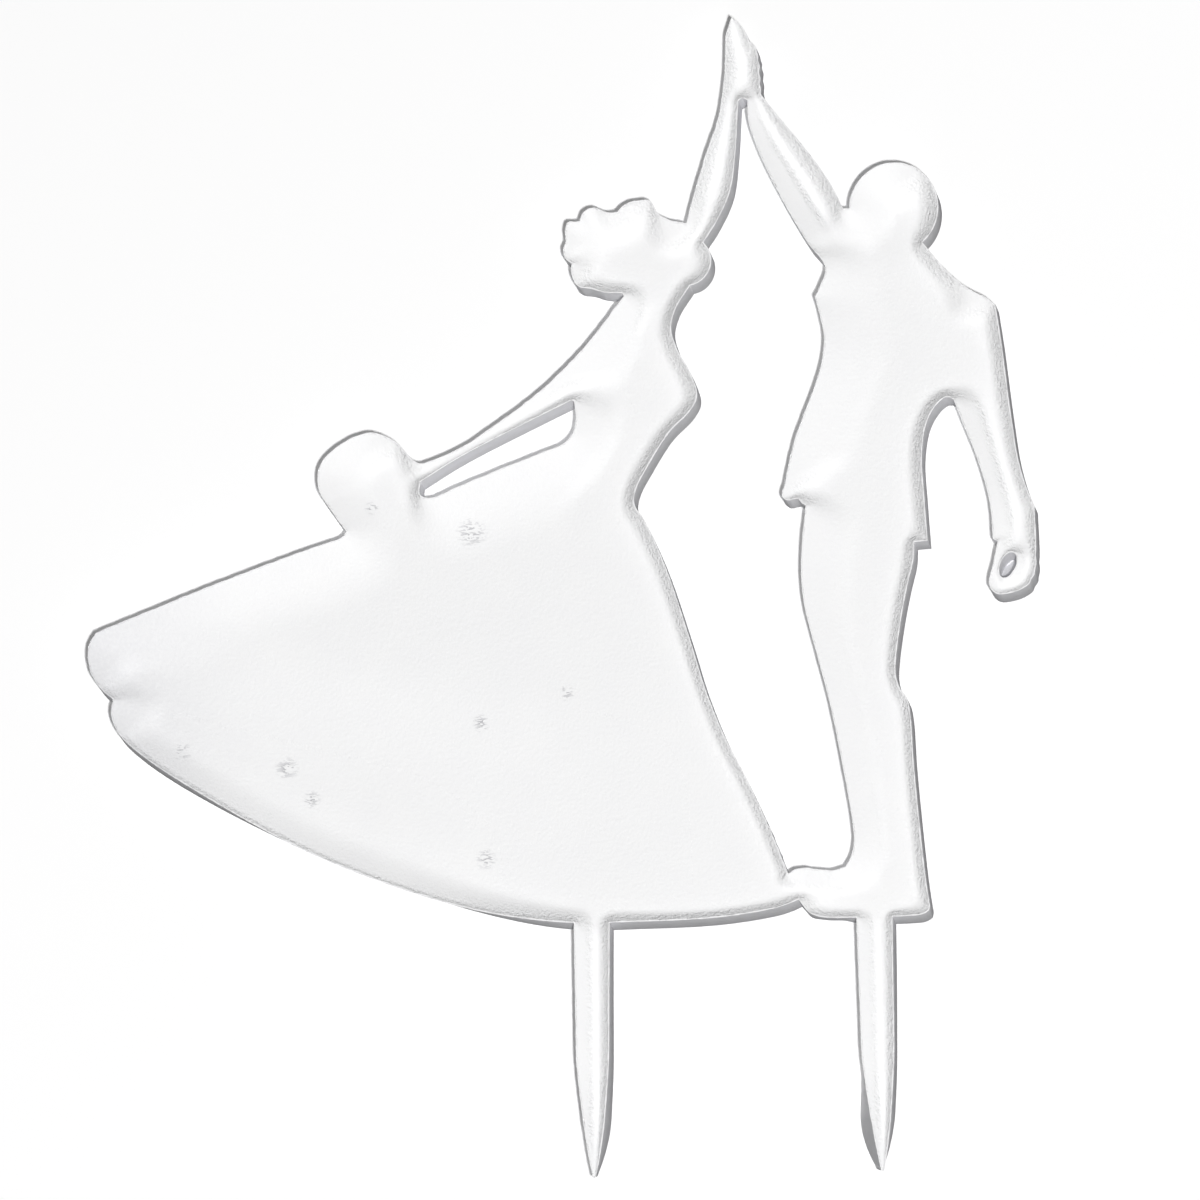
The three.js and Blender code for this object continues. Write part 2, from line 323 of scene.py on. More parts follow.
def sharpen(body, point):
    """Cuts a stake's point with slanting flanks, so that the front ends in a narrow wedge."""
    rim = [v for v in body.verts if in_plane(v, FRONT)]
    tip_x, tip_z = flat(min(rim, key=lambda v: v.co.z))
    top = [v.co.x for v in rim if v.co.z > FLANK_TOP]
    root = (min(top) + max(top)) / 2
    for vertex in body.verts:
        x, z = flat(vertex)
        if z > FLANK_TOP:
            continue
        middle = root + (tip_x - root) * z / tip_z
        at_front = in_plane(vertex, FRONT)
        left, right, shift = point["front" if at_front else "back"]
        share = left if x < middle else right
        down = eased(z, POINT_TOP, POINT_FULL)
        narrow = down if at_front else eased(z, FLANK_TOP, FLANK_FULL)
        x = middle + (x - middle) * (1 + (share - 1) * narrow) + shift * down
        if not at_front:
            z += BACK_SHORTER * eased(z, POINT_TOP, tip_z)
        set_flat(vertex, (x, z))


LEANS = (  # where the walls lean up from front to back: middle, half the stretch, top, how far
    ("bride", -45.0, 28.0, 30.0, 0.8),
    ("groom", 12.3, 4.2, 12.0, 0.6),
)
LEAN_BREADTH = 1.3  # above 1, part of the stretch around its middle leans in full
LEAN_FADE = 8.0  # below the top of a leaning stretch


def lean(body, middle, half, top, amount):
    """Sets the back a little higher than the front, as where the mould gave way."""
    for vertex in body.verts:
        x, z = flat(vertex)
        if in_plane(vertex, BACK):
            along = eased(LEAN_BREADTH * (1 - abs(x - middle) / half), 0, 1)
            set_flat(vertex, (x, z + amount * along * eased(top - z, 0, LEAN_FADE)))


pieces = {name: opened_copy(name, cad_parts[node]) for name, node in CASTINGS.items()}
bodies = {}
for name, piece in pieces.items():
    bodies[name] = bmesh.new()
    bodies[name].from_mesh(piece.data)
for name in ("bride", "groom"):
    draw_to_line(bodies[name], PALM_LINE)
    draw_to_line(bodies[name], SHOE_LINE)
    cut_walls_finer(bodies[name], (PALM_LINE, SHOE_LINE))
    tear(bodies[name])
for name, *stretch in LEANS:
    lean(bodies[name], *stretch)
for stake, figure in (("stake_below_skirt", "bride"), ("stake_below_shoe", "groom")):
    draw_up_stake(bodies[stake], bodies[figure])
    cut_walls_finer(bodies[stake], ())
    sharpen(bodies[stake], POINTS[stake])


def linear(hex_colour):
    """An sRGB colour as linear light."""
    channels = [int(hex_colour[i:i + 2], 16) / 255 for i in (1, 3, 5)]
    return [c / 12.92 if c <= 0.04045 else ((c + 0.055) / 1.055) ** 2.4 for c in channels] + [1]


def add_node(tree, kind, sockets=None, **settings):
    """Adds a node with its settings, and links its sockets or sets their values."""
    node = tree.nodes.new(kind)
    for name, value in settings.items():
        setattr(node, name, value)
    for name, value in (sockets or {}).items():
        if isinstance(value, bpy.types.NodeSocket):
            tree.links.new(value, node.inputs[name])
        else:
            node.inputs[name].default_value = value
    return node


# Polyurethane resin with white pigment, set against a silicone mould. The mould's matt skin leaves it dull
# and finely grained, with almost no gloss. The walls are given a greyer white than the bottom, which is
# painted shade.
RESIN_IOR = 1.52
CLOUD = 6 * MM  # size of the clouds in the white
MOULD_GRAIN = 0.45 * MM  # size and height of its lumps
MOULD_RELIEF = 0.05 * MM


def start_resin(name, *whites):
    """A new resin material: its tree, the places on the part, and a white that is a little uneven."""
    material = bpy.data.materials.new(name)
    material.use_nodes = True
    tree = material.node_tree
    tree.nodes.clear()
    coordinates = add_node(tree, "ShaderNodeTexCoord").outputs
    clouds = add_node(tree, "ShaderNodeTexNoise", {
        "Vector": coordinates["Object"], "Scale": 1 / CLOUD, "Detail": 3,
    })
    tint = add_node(tree, "ShaderNodeValToRGB", {"Fac": clouds.outputs["Fac"]})
    for stop, colour in zip(tint.color_ramp.elements, whites):
        stop.color = linear(colour)
    return material, tree, coordinates, tint.outputs["Color"]


def moulded_resin(name, *whites):
    """The finish that the mould gave."""
    material, tree, coordinates, white = start_resin(name, *whites)
    grain = add_node(tree, "ShaderNodeTexNoise", {
        "Vector": coordinates["Object"], "Scale": 1 / MOULD_GRAIN, "Detail": 3,
    })
    relief = add_node(tree, "ShaderNodeBump", {"Height": grain.outputs["Fac"], "Distance": MOULD_RELIEF})
    surface = add_node(tree, "ShaderNodeBsdfPrincipled", {
        "Base Color": white, "Roughness": 0.8, "IOR": RESIN_IOR, "Specular IOR Level": 0.05,
        "Normal": relief.outputs["Normal"],
    })
    add_node(tree, "ShaderNodeOutputMaterial", {"Surface": surface.outputs["BSDF"]})
    return material


# The walls' greyer whites are painted shade, darker than the bottom's white of the same resin.
wall_resin_painted_shade = moulded_resin("cast_white_resin_walls_painted_shade", "#e2e2e5", "#e8e8ea")

# The open face: the resin was poured into an open mould and crept up its walls before it set, so
# the face is a shallow dish inside a fine raised rim. It is sanded flush over the glued joints,
# and so one mesh is laid over all four castings and then shared out.
SAME_PLACE = 0.004  # points of an outline closer than this are one
PLAN_SLACK = 1e-5  # the same for the triangles laid inside the outlines
FAN_STEP = math.radians(20)  # between points around an inner corner
MITRE = 0.2  # least cosine of half a bend, which keeps a ring's points from shooting off at a tip
RING_KEEP = 0.985  # of its distance that a ring's point has to keep from every edge
ROW_STEP = math.sqrt(0.75)  # between the rows of a grid of equal triangles, for a side of 1


def ring_area(spots):
    return sum(a.x * b.y - a.y * b.x for a, b in zip(spots, spots[1:] + spots[:1])) / 2


def thinned(spots, spacing):
    """The points without those that crowd an earlier one."""
    kept = {}
    for x, y in spots:
        column, row = math.floor(x / spacing), math.floor(y / spacing)
        around = [kept.get((column + dx, row + dy), ()) for dx in (-1, 0, 1) for dy in (-1, 0, 1)]
        if all(math.hypot(x - u, y - v) > spacing for near in around for u, v in near):
            kept.setdefault((column, row), []).append((x, y))
    return np.array([spot for near in kept.values() for spot in near])


class SidePlan:
    """A flat plan of one side of the castings: its outlines, and the mesh laid inside them."""

    def __init__(self, bodies, side):
        self.places = []
        self.cells = {}
        self.polygons = []
        self.owners = []
        self.corners = {name: {} for name in bodies}
        inward_of = {}
        for name, body in bodies.items():
            body.normal_update()
            rings = open_rings(body, side)
            sizes = [abs(ring_area([flat(v) for v in ring])) for ring in rings]
            for ring, size in zip(rings, sizes):
                numbers = [self.number(flat(v)) for v in ring]
                self.corners[name].update(zip(numbers, ring))
                anticlockwise = ring_area([flat(v) for v in ring]) > 0
                self.polygons.append(numbers if anticlockwise else numbers[::-1])
                self.owners.append(name if size == max(sizes) else None)
                for i, corner in enumerate(ring):
                    follower = (i + 1) % len(ring)
                    wall = body.edges.get((corner, ring[follower])).link_faces[0]
                    inward = -Vector((wall.normal.x, wall.normal.z)).normalized()
                    pair = tuple(sorted((numbers[i], numbers[follower])))
                    inward_of.setdefault(pair, []).append(inward)
        self.joints = [pair for pair, sides in inward_of.items() if len(sides) > 1]
        self.outline = [pair for pair, sides in inward_of.items() if len(sides) == 1]
        self.inward = [inward_of[pair][0] for pair in self.outline]
        self.edges_at = {}
        for number, pair in enumerate(self.outline):
            for end in pair:
                self.edges_at.setdefault(end, []).append(number)
        self.tree = kdtree.KDTree(len(self.edges_at))
        for number in self.edges_at:
            self.tree.insert(self.places[number].to_3d(), number)
        self.tree.balance()

    def number(self, place):
        """The number of a place on an outline, the same for every piece that has a corner there."""
        column, row = round(place.x / SAME_PLACE), round(place.y / SAME_PLACE)
        for dx in (0, -1, 1):
            for dy in (0, -1, 1):
                known = self.cells.get((column + dx, row + dy))
                if known is not None:
                    return known
        self.cells[column, row] = len(self.places)
        self.places.append(place)
        return len(self.places) - 1

    def gaps(self, places):
        """How far each place is from the outline."""
        ends = np.array(self.places)
        outline = np.array(self.outline)
        near = np.array([[hit[1] for hit in self.tree.find_n((x, y, 0), 2)] for x, y in places])
        best = np.full(len(places), np.inf)
        for column in range(2):
            for turn in range(2):
                edges = np.array([self.edges_at[k][turn] for k in near[:, column]])
                start, end = ends[outline[edges, 0]], ends[outline[edges, 1]]
                way = end - start
                share = ((places - start) * way).sum(1) / (way * way).sum(1)
                foot = start + way * np.clip(share, 0, 1)[:, None]
                best = np.minimum(best, np.linalg.norm(places - foot, axis=1))
        return best

    def ring(self, gap, spacing):
        """Points inside the outline at one distance from it."""
        spots = []
        for number, (first, second) in self.edges_at.items():
            here = self.places[number]
            one, two = self.inward[first], self.inward[second]
            ahead = next(k for k in self.outline[second] if k != number)
            inner = (self.places[ahead] - here).dot(one) < 0
            bend = one.angle(two, 0)
            if inner and bend > FAN_STEP:
                steps = math.ceil(bend / FAN_STEP)
                turn = one.angle_signed(two)
                for step in range(steps + 1):
                    way = one.copy()
                    way.rotate(Matrix.Rotation(-turn * step / steps, 2))
                    spots.append(here + way * gap)
            else:
                middle = (one + two).normalized()
                spots.append(here + middle * (gap / max(math.cos(bend / 2), MITRE)))
        spots = np.array(spots)
        spots = spots[self.gaps(spots) > RING_KEEP * gap]
        return thinned(spots, spacing)

    def floor(self, step, gap):
        """Points of a three-way grid inside the outline, no closer to it than the gap."""
        starts = np.array([self.places[a] for a, b in self.outline])
        ends = np.array([self.places[b] for a, b in self.outline])
        low, high = starts.min(0), starts.max(0)
        spots = []
        for row, y in enumerate(np.arange(low[1], high[1], step * ROW_STEP)):
            crossing = (starts[:, 1] > y) != (ends[:, 1] > y)
            a, b = starts[crossing], ends[crossing]
            walls = np.sort(a[:, 0] + (y - a[:, 1]) / (b[:, 1] - a[:, 1]) * (b[:, 0] - a[:, 0]))
            xs = np.arange(low[0] + step / 2 * (row % 2), high[0], step)
            xs = xs[np.searchsorted(walls, xs) % 2 == 1]
            spots.append(np.column_stack((xs, np.full(len(xs), y))))
        spots = np.concatenate(spots)
        return spots[self.gaps(spots) > gap]

    def lay(self, spots):
        """Joins the outlines and the loose points into triangles, each with its piece."""
        self.points = np.concatenate([np.array(self.places), *spots])
        edges = [list(pair) for pair in self.outline + self.joints]
        _, _, faces, sources, _, face_sources = delaunay_2d_cdt(
            [Vector(p) for p in self.points], edges, self.polygons, 0, PLAN_SLACK
        )
        first = [source[0] for source in sources]
        self.triangles = {name: [] for name in self.corners}
        for face, inside in zip(faces, face_sources):
            owners = {self.owners[k] for k in inside}
            if len(owners) == 1 and None not in owners:
                self.triangles[owners.pop()].append([first[k] for k in face])
        self.gap = np.zeros(len(self.points))
        inner = np.array([k for k in range(len(self.points)) if k not in self.edges_at])
        self.gap[inner] = self.gaps(self.points[inner])


def close_side(body, plan, name, level, finish):
    """Gives a casting its share of a plan's mesh, with each point at its level."""
    corners = dict(plan.corners[name])
    for number, vertex in corners.items():
        vertex.co.y = level[number]
    for triangle in plan.triangles[name]:
        for number in triangle:
            if number not in corners:
                x, z = plan.points[number]
                corners[number] = body.verts.new((x, level[number], z))
        body.faces.new([corners[number] for number in triangle]).material_index = finish


CREEP = 0.7  # reach of one part of the resin on the next, which keeps narrow limbs free of creases
CREEP_ROUNDS = 2000  # of the solution, at most
CREEP_REST = 1e-14  # it ends when less than this is left unbalanced


def creep_share(points, triangles, held, start):
    """How far the resin's climb up the wall still reaches at each point.

    It is the start where it is held, and fades from there as the skin of a standing liquid does,
    whose bend carries its weight.
    """
    count = len(points)
    rows, columns, weights = [], [], []
    for turn in range(3):
        i, j, k = (triangles[:, (turn + step) % 3] for step in range(3))
        one, two = points[i] - points[k], points[j] - points[k]
        doubled = np.abs(one[:, 0] * two[:, 1] - one[:, 1] * two[:, 0])
        rows += [i, j]
        columns += [j, i]
        weights += [CREEP**2 / 2 * (one * two).sum(1) / doubled] * 2
    rows, columns, weights = np.concatenate(rows), np.concatenate(columns), np.concatenate(weights)
    load = np.bincount(triangles.ravel(), np.repeat(doubled / 6, 3), count)
    centre = np.bincount(rows, weights, count) + load
    free = np.where(held, 0.0, 1.0)

    def balance(share):
        return centre * share - np.bincount(rows, weights * share[columns], count)

    share = np.where(held, start, 0.0)
    left = -balance(share) * free
    step = left / centre
    way = step.copy()
    size = left @ step
    for _ in range(CREEP_ROUNDS):
        pull = balance(way) * free
        length = size / (way @ pull)
        share += length * way
        left -= length * pull
        step = left / centre
        size, before = left @ step, size
        if size < CREEP_REST:
            break
        way = step + size / before * way
    return share


RIM_RADIUS = (0.06, 0.12)  # of the crest, sharp in places and blunt in others
RIM_STEP = 1.2  # between a sharp place and a blunt one
RIM_NOISE = (-0.45, 0.45)  # the values of the noise that give a sharp place and a blunt one
RIM_SLOPE = math.radians(52)  # of the dish just inside the rim
RIM_WIDTH = RIM_RADIUS[1] * (1 + math.sin(RIM_SLOPE))
RIM_RINGS = [RIM_RADIUS[1] * (1 - math.cos(math.radians(turn))) for turn in (30, 60, 90)]
RIM_RINGS += [RIM_RADIUS[1] * (1 + math.sin(RIM_SLOPE * share)) for share in (0.5, 1)]
DISH_STEPS = (0.1, 0.22, 0.36, 0.52, 0.7, 0.9, 1.12, 1.36, 1.62, 1.9, 2.2, 2.55, 2.95, 3.4, 3.9)
DISH_RINGS = [RIM_WIDTH + step for step in DISH_STEPS]
RIM_SPACING = 0.13  # between the points of a ring, and how much it grows with each millimetre inward
SPACING_GROWTH = 0.18
FLOOR_STEP = 1.0  # between points of the dish's flat floor
FLOOR_MARGIN = 0.5  # from the last ring to the first of them

front = SidePlan(bodies, FRONT)
spots = [front.ring(gap, RIM_SPACING) for gap in RIM_RINGS]
spots += [front.ring(gap, RIM_SPACING + SPACING_GROWTH * gap) for gap in DISH_RINGS]
spots.append(front.floor(FLOOR_STEP, DISH_RINGS[-1] + FLOOR_MARGIN))
front.lay(spots)
across, up = front.points.T
triangles = np.array(sum(front.triangles.values(), []))

# The way in from the edges that lay low while the resin set, whose dish is steep. Along the opposite
# edges it has a share of that slope, but not on the bride's thin raised arm.
LOW_SIDE = Vector((-1, 1)).normalized()
LOW_TURN = (-0.25, 0.1)  # cosines between which an edge turns from high to low
HIGH_SHARE = 0.2
ARM_ROOT = (90, 96)  # heights between which the raised arm starts
ARM_SIDE = 2.0  # the bride's arm is to the left of this
FAINTEST = 1e-6  # the least climb that is reckoned with
FAINT = 1e-5  # a point with less climb than this lies on the floor, whatever its share
on_rim = front.gap < RIM_WIDTH + ROUNDING
climb = np.maximum(creep_share(front.points, triangles, on_rim, 1.0), FAINTEST)
away = -CREEP * np.log(climb)
low_side = np.zeros(len(front.points))
for number in np.flatnonzero(on_rim):
    nearest = front.tree.find((across[number], up[number], 0))[1]
    inward = sum((front.inward[edge] for edge in front.edges_at[nearest]), Vector((0, 0)))
    low_side[number] = inward.normalized().dot(LOW_SIDE)
held_share = HIGH_SHARE + (1 - HIGH_SHARE) * eased(low_side, *LOW_TURN)
held_share += (1 - held_share) * eased(up, *ARM_ROOT) * (across < ARM_SIDE)
share = np.clip(creep_share(front.points, triangles, on_rim, held_share) / climb, HIGH_SHARE, 1)
share = np.where(climb > FAINT, share, 1)

# The width of the dish's slope, from the rim to the flat floor. The train has two slopes, a wide one
# with a share of the rim's slope and a narrow fillet with the rest.
LEG_WIDTH = 1.35  # also on the stakes
BODY_WIDTH = 1.95
ARM_WIDTH = 2.8
TRAIN_WIDTH = 4.2
TRAIN_SHARE = 0.37
TRAIN_FILLET = 0.5
WIDEST = 9.0
HIPS = (25, 60)  # heights between which the width goes over from leg to body, and from body to arm
SHOULDERS = (84, 94)
TRAIN_START = (5, 45)  # how far to the left the train starts and is full
TRAIN_TOP = (48, 62)  # heights between which it ends
HEM_HEIGHT = 12  # where the wide slope along the hem fades out upward, at the origin
HEM_RISE = 0.27  # of that height, for each millimetre to the left
HEM_FADE = 12  # above and below that height
POINT_START = (17, 27)  # how far down a stake's point starts and is full
POINT_STEEPER = 0.7  # how much more slope the dish has there, as a share
hem_side = eased(HEM_HEIGHT - HEM_RISE * across - up, -HEM_FADE, HEM_FADE)
train = eased(-across, *TRAIN_START) * (1 - eased(up, *TRAIN_TOP)) * hem_side
width = LEG_WIDTH + (BODY_WIDTH - LEG_WIDTH) * eased(up, *HIPS)
width += (ARM_WIDTH - BODY_WIDTH) * eased(up, *SHOULDERS)
width += (TRAIN_WIDTH - width) * train
point = eased(-up, *POINT_START)


def dish_depth(away, width, slope, share):
    """How deep a dish has sunk at a distance from its rim, where its slope fades ever faster to none.

    With a smaller share of the slope it reaches the same floor further in.
    """
    wide = np.minimum(width / share, WIDEST)
    reach = np.minimum(away, wide)
    return slope * width / wide * (reach - reach**3 / (3 * wide**2))


steep = math.tan(RIM_SLOPE)
wear = np.array([noise.noise(Vector((x, z, 0)) / RIM_STEP) for x, z in front.points])
radius = np.interp(wear, RIM_NOISE, RIM_RADIUS)
blunt = steep * radius * (1 + math.sin(RIM_SLOPE)) - radius * (1 - math.cos(RIM_SLOPE))
sharp = blunt * RIM_RADIUS[0] / radius
crest = blunt - sharp + radius - np.sqrt(np.maximum(radius**2 - (front.gap - radius) ** 2, 0))
slope = steep * np.minimum(front.gap, RIM_WIDTH) - sharp
sink = np.where(front.gap < radius * (1 + math.sin(RIM_SLOPE)), crest, slope)
sink += dish_depth(away, width, steep * (1 - (1 - TRAIN_SHARE) * train + POINT_STEEPER * point), share)
sink += dish_depth(away, TRAIN_FILLET, steep * (1 - TRAIN_SHARE) * train, share)
for name, body in bodies.items():
    close_side(body, front, name, FRONT + sink, OPEN_FACE)

# The same resin where it set in the open air, with a satin skin: smooth on the floor of the dish, and
# grained on the slopes, where it crept over the mould's skin. The face was scraped here and there in
# short strokes, and the end of the train is painted a speckled grey: painted shade where the light falls
# off.
COLOUR_A, COLOUR_B, COLOUR_MIXED = 6, 7, 2  # a Mix node's sockets for colours, whose names aren't unique
SCUFFS = (  # where the face was scraped, each with its reach
    ((-33.3, 51.3), 2.2), ((-46.0, 54.9), 1.0), ((-70.1, 24.1), 1.3), ((-56.8, 21.5), 1.7),
    ((-53.6, 17.4), 1.3), ((-32.0, 26.6), 1.3), ((-21.2, 30.2), 1.2), ((-31.4, 9.1), 1.5),
)
STROKE = Vector((0.85, 0.85, 0.26)) * MM  # length and breadth of one scrape
STROKE_EDGE = (0.52, 0.58)  # values of the noise between which a stroke begins
SCRAPE_DEPTH = 0.06 * MM
FALLOFF_SHADE_START = -58 * MM  # where the painted shade of the light's falloff starts along the train, and where it would be full
FALLOFF_SHADE_END = -84 * MM
FALLOFF_SHADE_GRAIN = 0.45 * MM
FALLOFF_SHADE_NOISE = (0.3, 0.6)  # values of the noise that give the least painted shade, a share, and the full one
FALLOFF_SHADE_LEAST = 0.7
FACE_GRAIN = 0.4 * MM  # size and height of the lumps on the slopes
FACE_RELIEF = 0.32 * MM
SLOPING = (-0.92, -0.72)  # the normal's Y on the floor and on a full slope, where -1 is straight ahead
FLOOR_GRAIN = 0.2  # share of that height on the floor
open_resin, tree, coordinates, white = start_resin("cast_white_resin_open_face", "#f4f4f5", "#f8f8f8")
place = coordinates["Object"]
in_plan = add_node(tree, "ShaderNodeVectorMath", {0: place, 1: (1, 0, 1)}, operation="MULTIPLY").outputs[0]
scuffed = None
for (x, z), reach in SCUFFS:
    off = add_node(tree, "ShaderNodeVectorMath", {0: in_plan, 1: (x * MM, 0, z * MM)}, operation="DISTANCE")
    near = add_node(tree, "ShaderNodeMapRange", {
        "Value": off.outputs["Value"], "From Min": reach * MM, "From Max": 0, "To Min": 0, "To Max": 1,
    }).outputs["Result"]
    if scuffed is not None:
        near = add_node(tree, "ShaderNodeMath", {0: scuffed, 1: near}, operation="MAXIMUM").outputs[0]
    scuffed = near
stretched = add_node(tree, "ShaderNodeVectorMath", {
    0: place, 1: [1 / side for side in STROKE],
}, operation="MULTIPLY").outputs[0]
strokes = add_node(tree, "ShaderNodeTexNoise", {
    "Vector": stretched, "Scale": 1, "Detail": 1, "Distortion": 0.8,
})
strokes = add_node(tree, "ShaderNodeMapRange", {
    "Value": strokes.outputs["Fac"], "From Min": STROKE_EDGE[0], "From Max": STROKE_EDGE[1],
    "To Min": 0, "To Max": 1,
}).outputs["Result"]
scrape = add_node(tree, "ShaderNodeMath", {0: scuffed, 1: strokes}, operation="MULTIPLY").outputs[0]
along_train = add_node(tree, "ShaderNodeSeparateXYZ", {"Vector": place}).outputs["X"]
# Painted shade: the train's end is greyed in speckles where the light falls off.
falloff_reach = add_node(tree, "ShaderNodeMapRange", {
    "Value": along_train, "From Min": FALLOFF_SHADE_START, "From Max": FALLOFF_SHADE_END, "To Min": 0, "To Max": 1,
}, interpolation_type="SMOOTHSTEP").outputs["Result"]
specks = add_node(tree, "ShaderNodeTexNoise", {"Vector": place, "Scale": 1 / FALLOFF_SHADE_GRAIN, "Detail": 2})
specks = add_node(tree, "ShaderNodeMapRange", {
    "Value": specks.outputs["Fac"], "From Min": FALLOFF_SHADE_NOISE[0], "From Max": FALLOFF_SHADE_NOISE[1],
    "To Min": FALLOFF_SHADE_LEAST, "To Max": 1,
}).outputs["Result"]
painted_falloff = add_node(tree, "ShaderNodeMath", {0: falloff_reach, 1: specks}, operation="MULTIPLY").outputs[0]
# the grey of that painted falloff shade
falloff_shaded = add_node(tree, "ShaderNodeMix", {
    "Factor": painted_falloff, COLOUR_A: white, COLOUR_B: linear("#e6e6e8"),
}, data_type="RGBA").outputs[COLOUR_MIXED]
worn = add_node(tree, "ShaderNodeMix", {
    "Factor": scrape, COLOUR_A: falloff_shaded, COLOUR_B: linear("#bcbcc0"),
}, data_type="RGBA").outputs[COLOUR_MIXED]
grain = add_node(tree, "ShaderNodeTexNoise", {"Vector": place, "Scale": 1 / FACE_GRAIN, "Detail": 2})
facing = add_node(tree, "ShaderNodeSeparateXYZ", {"Vector": coordinates["Normal"]}).outputs["Y"]
rough = add_node(tree, "ShaderNodeMapRange", {
    "Value": facing, "From Min": SLOPING[0], "From Max": SLOPING[1], "To Min": FLOOR_GRAIN, "To Max": 1,
}).outputs["Result"]
relief = add_node(tree, "ShaderNodeBump", {
    "Height": grain.outputs["Fac"], "Distance": FACE_RELIEF, "Strength": rough,
})
relief = add_node(tree, "ShaderNodeBump", {
    "Height": scrape, "Distance": SCRAPE_DEPTH, "Normal": relief.outputs["Normal"],
}, invert=True)
surface = add_node(tree, "ShaderNodeBsdfPrincipled", {
    "Base Color": worn, "Roughness": 0.58, "IOR": RESIN_IOR, "Specular IOR Level": 0.4,
    "Normal": relief.outputs["Normal"],
})
add_node(tree, "ShaderNodeOutputMaterial", {"Surface": surface.outputs["BSDF"]})

# The flat back: it lay on the bottom of the mould, so it is level, with a fine rounded edge all
# around, also along the glued joints and the rebates that the stakes' tongues and the toe lie in.
# With it the castings are closed, and take their finishes.
EDGE_RADIUS = 0.6
EDGE_RINGS = [EDGE_RADIUS * (1 - math.cos(math.radians(turn))) for turn in (20, 40, 60, 75, 90)]
EDGE_RINGS.append(EDGE_RADIUS + 0.2)  # the last one lies on the flat, and keeps its triangles even
EDGE_SPACING = 0.1
SHADE_TURN = math.radians(40)  # a sharper turn between two faces shows as an edge
for name, body in bodies.items():
    cut_long_edges(body, BACK)
    back = SidePlan({name: body}, BACK)
    back.lay([back.ring(gap, EDGE_SPACING) for gap in EDGE_RINGS])
    edge_rise = np.sqrt(np.maximum(EDGE_RADIUS**2 - np.maximum(EDGE_RADIUS - back.gap, 0) ** 2, 0))
    close_side(body, back, name, BACK - EDGE_RADIUS + edge_rise, BOTTOM)

bottom_resin = moulded_resin("cast_white_resin_back", "#f4f4f5", "#f8f8f8")
finishes = {WALL: wall_resin_painted_shade, BOTTOM: bottom_resin, OPEN_FACE: open_resin}
for name, body in bodies.items():
    piece = pieces[name]
    bmesh.ops.recalc_face_normals(body, faces=body.faces)
    bmesh.ops.scale(body, vec=(MM, MM, MM), verts=body.verts)
    body.to_mesh(piece.data)
    bpy.ops.object.select_all(action="DESELECT")
    bpy.context.view_layer.objects.active = piece
    piece.select_set(True)
    bpy.ops.object.shade_smooth_by_angle(angle=SHADE_TURN)
    for finish in sorted(finishes):
        piece.data.materials.append(finishes[finish])
    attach(piece, "root")
    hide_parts(CASTINGS[name])

# The web in the fist: a little resin ran into the hole of the closed fist and set there as a sloping
# floor. It is one with the groom, and its rim lies in the hole's walls.
FIST_HOLE = Vector((34.9, 44.8))
HOLE_HALF = Vector((0.95, 1.7))
HOLE_LEAN = math.radians(24)
WEB_SIDES = 64
WEB_GRIP = 0.04  # into the walls
WEB_DEPTH = 3.2  # below the front, in the middle of the hole
WEB_FALL = Vector((-0.6, 0.8))  # how much deeper for each millimetre to the right and up
WEB_BACK = 0.8  # from the back
bpy.ops.mesh.primitive_cylinder_add(vertices=WEB_SIDES, radius=1, depth=2, rotation=(math.pi / 2, 0, 0))
web = bpy.context.active_object
web.name = "web_in_fist"
bpy.ops.object.transform_apply(location=False, rotation=True, scale=False)
for vertex in web.data.vertices:
    spot = Vector((vertex.co.x, vertex.co.z)) * (HOLE_HALF + Vector((WEB_GRIP, WEB_GRIP)))
    spot.rotate(Matrix.Rotation(-HOLE_LEAN, 2))
    level = FRONT + WEB_DEPTH + spot.dot(WEB_FALL) if vertex.co.y < 0 else BACK - WEB_BACK
    vertex.co = Vector((FIST_HOLE.x + spot.x, level, FIST_HOLE.y + spot.y)) * MM
bpy.ops.object.shade_smooth_by_angle(angle=SHADE_TURN)
# The web takes the walls' greyer white, which is painted shade.
web.data.materials.append(wall_resin_painted_shade)
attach(web, "root")
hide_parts("groom_figure")

# The table: the topper lies on its back on a sheet of white paper. The paper is white to the eye and
# in reflections, and grey to the light that it throws back on the topper. It lets light from behind
# through, and isn't there just below the topper, so that the edge of the back doesn't go black.
TABLE_SIZE = 3.0
TABLE_GAP = 0.02 * MM
CONTACT = 0.3 * MM  # a shorter path is between the back of the topper and the table
GLOW = 0.09  # lifts the paper to white without more light on the topper
table_place = (0, cad_high.y + TABLE_GAP, 0)
bpy.ops.mesh.primitive_plane_add(size=TABLE_SIZE, location=table_place, rotation=(math.pi / 2, 0, 0))
table = bpy.context.active_object
table.name = "table"
bpy.ops.object.transform_apply(location=True, rotation=True, scale=True)


def eye_rays(tree):
    """The light path's outputs, and 1 for the rays that show something to the eye, 0 for the others."""
    path = add_node(tree, "ShaderNodeLightPath").outputs
    seen = path["Is Camera Ray"]
    for kind in ("Is Glossy Ray", "Is Transmission Ray"):
        seen = add_node(tree, "ShaderNodeMath", {0: seen, 1: path[kind]}, operation="ADD", use_clamp=True)
        seen = seen.outputs[0]
    return path, seen


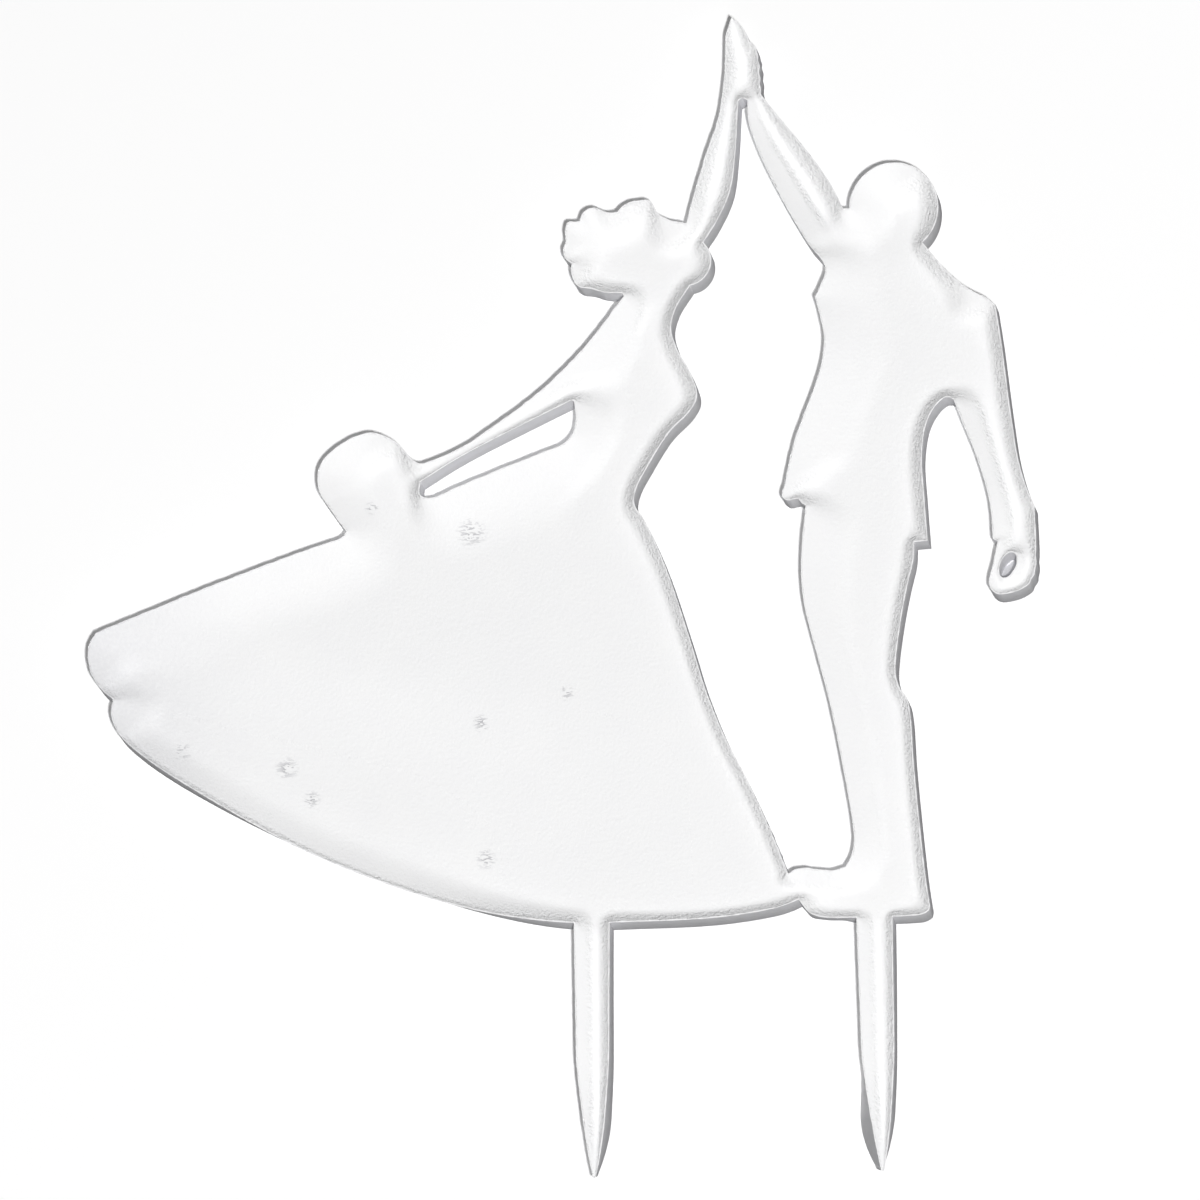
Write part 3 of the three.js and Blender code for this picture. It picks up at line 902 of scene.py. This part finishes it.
paper = bpy.data.materials.new("white_paper")
paper.use_nodes = True
tree = paper.node_tree
tree.nodes.clear()
path, seen = eye_rays(tree)
behind = add_node(tree, "ShaderNodeNewGeometry").outputs["Backfacing"]
there = add_node(tree, "ShaderNodeMath", {0: path["Ray Length"], 1: CONTACT}, operation="GREATER_THAN")
for passing in (behind, path["Is Shadow Ray"]):
    there = add_node(tree, "ShaderNodeMath", {
        0: there.outputs[0], 1: passing,
    }, operation="SUBTRACT", use_clamp=True)
shade = add_node(tree, "ShaderNodeMix", {
    "Factor": seen, COLOUR_A: linear("#6a6a6a"), COLOUR_B: linear("#fafafa"),
}, data_type="RGBA").outputs[COLOUR_MIXED]
sheet = add_node(tree, "ShaderNodeBsdfDiffuse", {"Color": shade})
lift = add_node(tree, "ShaderNodeMath", {0: seen, 1: GLOW}, operation="MULTIPLY")
glow = add_node(tree, "ShaderNodeEmission", {"Color": linear("#ffffff"), "Strength": lift.outputs[0]})
both = add_node(tree, "ShaderNodeAddShader", {0: sheet.outputs[0], 1: glow.outputs[0]})
clear = add_node(tree, "ShaderNodeBsdfTransparent")
surface = add_node(tree, "ShaderNodeMixShader", {
    0: there.outputs[0], 1: clear.outputs[0], 2: both.outputs[0],
})
add_node(tree, "ShaderNodeOutputMaterial", {"Surface": surface.outputs[0]})
table.data.materials.append(paper)

# The light: a pale room, a lamp in front to the lower right, which models the dish and the rim, and
# one behind to the upper left, for the back and for the walls that the first lamp leaves dark.
AMBIENT = 0.1
KEY_WAY = Vector((0.2, -1, -0.31))
KEY_AWAY = 2.5
KEY_LEVEL = 0.85  # on the flat front
KEY_SIZE = 0.14
BEHIND_WAY = Vector((-0.7, 1.45, 0.65))
BEHIND_LEVEL = 0.9
BEHIND_SIZE = 0.6
world = bpy.data.worlds.new("pale_room")
bpy.context.scene.world = world
world.use_nodes = True
tree = world.node_tree
tree.nodes.clear()
path, seen = eye_rays(tree)
level = add_node(tree, "ShaderNodeMix", {"Factor": seen, "A": AMBIENT, "B": 1.0}).outputs["Result"]
backdrop = add_node(tree, "ShaderNodeBackground", {"Color": linear("#ffffff"), "Strength": level})
add_node(tree, "ShaderNodeOutputWorld", {"Surface": backdrop.outputs[0]})


def add_lamp(name, place, toward, level, size):
    """A round lamp that lights a square-on surface at its target to a level, where 1 is full white."""
    data = bpy.data.lights.new(name, "AREA")
    data.shape = "DISK"
    data.size = size
    lamp = bpy.data.objects.new(name, data)
    lamp.location = place
    lamp.rotation_mode = "QUATERNION"
    lamp.rotation_quaternion = (place - toward).to_track_quat("Z", "Y")
    data.energy = level * math.pi**2 * (place - toward).length_squared
    bpy.context.scene.collection.objects.link(lamp)


middle = (cad_low + cad_high) / 2
add_lamp("key_lamp", middle + KEY_WAY * KEY_AWAY, middle, KEY_LEVEL * KEY_WAY.length, KEY_SIZE)
add_lamp("lamp_behind", middle + BEHIND_WAY, middle, BEHIND_LEVEL, BEHIND_SIZE)

# The camera: far off with a long lens, so that the thickness shows alike everywhere. It stands a little
# below the topper and to its right, which shows the lower and the right walls, as in the photograph.
LENS = 600
SENSOR = 36
FARTHEST = 100
CAMERA_RIGHT = math.radians(7)
CAMERA_BELOW = math.radians(13.5)
AIM = Vector((-16.76, -2.5, 41.73)) * MM
VIEW_WIDTH = 151.2 * MM
camera_data = bpy.data.cameras.new("camera")
camera_data.lens = LENS
camera_data.sensor_width = SENSOR
camera_data.clip_end = FARTHEST
camera = bpy.data.objects.new("camera", camera_data)
bpy.context.scene.collection.objects.link(camera)
toward_camera = Vector((
    math.sin(CAMERA_RIGHT) * math.cos(CAMERA_BELOW),
    -math.cos(CAMERA_RIGHT) * math.cos(CAMERA_BELOW),
    -math.sin(CAMERA_BELOW),
))
camera.location = AIM + toward_camera * VIEW_WIDTH * LENS / SENSOR
camera.rotation_mode = "QUATERNION"
camera.rotation_quaternion = (-toward_camera).to_track_quat("-Z", "Y")
bpy.context.scene.camera = camera
bpy.context.scene.view_settings.view_transform = "Standard"
